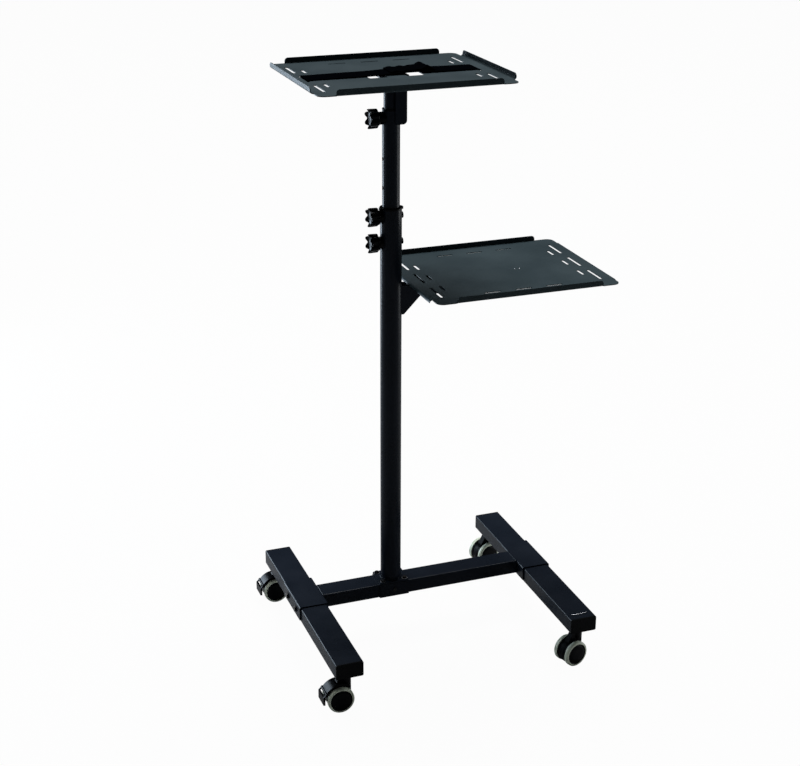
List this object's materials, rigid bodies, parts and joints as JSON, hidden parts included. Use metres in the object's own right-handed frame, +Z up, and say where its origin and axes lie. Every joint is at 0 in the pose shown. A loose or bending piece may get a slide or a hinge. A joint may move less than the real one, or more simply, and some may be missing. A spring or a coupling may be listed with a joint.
{
  "type": "projector trolley",
  "caption": "Wheeled projector trolley: an H-shaped base on twin-wheel castors, a telescopic mast with clamp knobs, and two slotted trays, the upper one with a tie-down strap.",
  "frame": {"origin": "on the floor, under the middle of the whole trolley's outline", "axes": "+Z up; +X towards the side on which the lower tray sticks out; -Y towards the front, the side that the picture looks at"},
  "size_m": [0.688, 0.528, 1.235],
  "materials": {
    "frame_black": "fine-textured satin powder coat",
    "tray_slate": "fine-textured satin powder coat, slate",
    "plastic_black": "matte",
    "knob_gloss": "semi-gloss moulded",
    "castor_black": "satin moulded",
    "bolt_black": "black oxide, satin",
    "steel_zinc": "zinc plated",
    "tyre_grey": "soft matte rubber, light grey",
    "webbing": "woven, matte"
  },
  "bodies": {
    "base": {"left_leg": "frame_black", "right_leg": "frame_black", "left_leg_caps": "plastic_black", "right_leg_caps": "plastic_black", "left_saddle": "frame_black", "right_saddle": "frame_black", "saddle_bolts": "bolt_black", "crossbar": "frame_black", "collar": "frame_black", "foot_plate": "frame_black", "foot_bolts": "bolt_black", "outer_tube": "frame_black", "outer_bush": "plastic_black", "outer_bosses": "plastic_black", "outer_nuts": "bolt_black", "lower_bracket": "frame_black", "lower_tray": "tray_slate", "front_left_stem": "steel_zinc", "back_left_stem": "steel_zinc", "front_right_stem": "steel_zinc", "back_right_stem": "steel_zinc"},
    "mast": {"inner_tube": "frame_black", "inner_bush": "plastic_black", "inner_boss": "plastic_black"},
    "head": {"top_tube": "frame_black", "top_bracket": "frame_black", "top_tray": "tray_slate", "strap": "webbing"},
    "top_knob": {"top_knob": "knob_gloss"},
    "height_knob": {"height_knob": "knob_gloss"},
    "lock_knob": {"lock_knob": "knob_gloss"},
    "front_left_fork": {"front_left_hood": "castor_black"},
    "front_left_wheel_set": {"front_left_wheels": "castor_black", "front_left_tyres": "tyre_grey"},
    "front_left_pedal": {"front_left_brake": "castor_black"},
    "back_left_fork": {"back_left_hood": "castor_black"},
    "back_left_wheel_set": {"back_left_wheels": "castor_black", "back_left_tyres": "tyre_grey"},
    "back_left_pedal": {"back_left_brake": "castor_black"},
    "front_right_fork": {"front_right_hood": "castor_black"},
    "front_right_wheel_set": {"front_right_wheels": "castor_black", "front_right_tyres": "tyre_grey"},
    "back_right_fork": {"back_right_hood": "castor_black"},
    "back_right_wheel_set": {"back_right_wheels": "castor_black", "back_right_tyres": "tyre_grey"}
  },
  "joints": [
    {"name": "mast_slide", "type": "slide", "parent": "base", "child": "mast", "axis": [0, 0, 1], "range_m": [-0.1174, 0.235]},
    {"name": "head_slide", "type": "slide", "parent": "mast", "child": "head", "axis": [0, 0, 1], "range_m": [-0.045, 0]},
    {"name": "top_knob_turn", "type": "hinge", "parent": "mast", "child": "top_knob", "pos_m": [-0.098, 0.03588, 1.138], "axis": [1, 0, 0], "continuous": true},
    {"name": "height_knob_turn", "type": "hinge", "parent": "base", "child": "height_knob", "pos_m": [-0.098, 0.03588, 0.94], "axis": [1, 0, 0], "continuous": true},
    {"name": "lock_knob_turn", "type": "hinge", "parent": "base", "child": "lock_knob", "pos_m": [-0.098, 0.03588, 0.886], "axis": [1, 0, 0], "continuous": true},
    {"name": "front_left_swivel", "type": "hinge", "parent": "base", "child": "front_left_fork", "pos_m": [-0.292, -0.23162, 0.084], "axis": [0, 0, 1], "continuous": true},
    {"name": "front_left_roll", "type": "hinge", "parent": "front_left_fork", "child": "front_left_wheel_set", "pos_m": [-0.307, -0.23162, 0.028], "axis": [0, 1, 0], "continuous": true},
    {"name": "front_left_brake_press", "type": "hinge", "parent": "front_left_fork", "child": "front_left_pedal", "pos_m": [-0.336, -0.23162, 0.045], "axis": [0, 1, 0], "range_deg": [-6, 18]},
    {"name": "back_left_swivel", "type": "hinge", "parent": "base", "child": "back_left_fork", "pos_m": [-0.292, 0.23938, 0.084], "axis": [0, 0, 1], "continuous": true},
    {"name": "back_left_roll", "type": "hinge", "parent": "back_left_fork", "child": "back_left_wheel_set", "pos_m": [-0.307, 0.23938, 0.028], "axis": [0, 1, 0], "continuous": true},
    {"name": "back_left_brake_press", "type": "hinge", "parent": "back_left_fork", "child": "back_left_pedal", "pos_m": [-0.336, 0.23938, 0.045], "axis": [0, 1, 0], "range_deg": [-6, 18]},
    {"name": "front_right_swivel", "type": "hinge", "parent": "base", "child": "front_right_fork", "pos_m": [0.225, -0.23162, 0.084], "axis": [0, 0, 1], "continuous": true},
    {"name": "front_right_roll", "type": "hinge", "parent": "front_right_fork", "child": "front_right_wheel_set", "pos_m": [0.21051, -0.2355, 0.028], "axis": [-0.2588, 0.9659, 0], "continuous": true},
    {"name": "back_right_swivel", "type": "hinge", "parent": "base", "child": "back_right_fork", "pos_m": [0.225, 0.23938, 0.084], "axis": [0, 0, 1], "continuous": true},
    {"name": "back_right_roll", "type": "hinge", "parent": "back_right_fork", "child": "back_right_wheel_set", "pos_m": [0.21051, 0.2355, 0.028], "axis": [-0.2588, 0.9659, 0], "continuous": true}
  ]
}
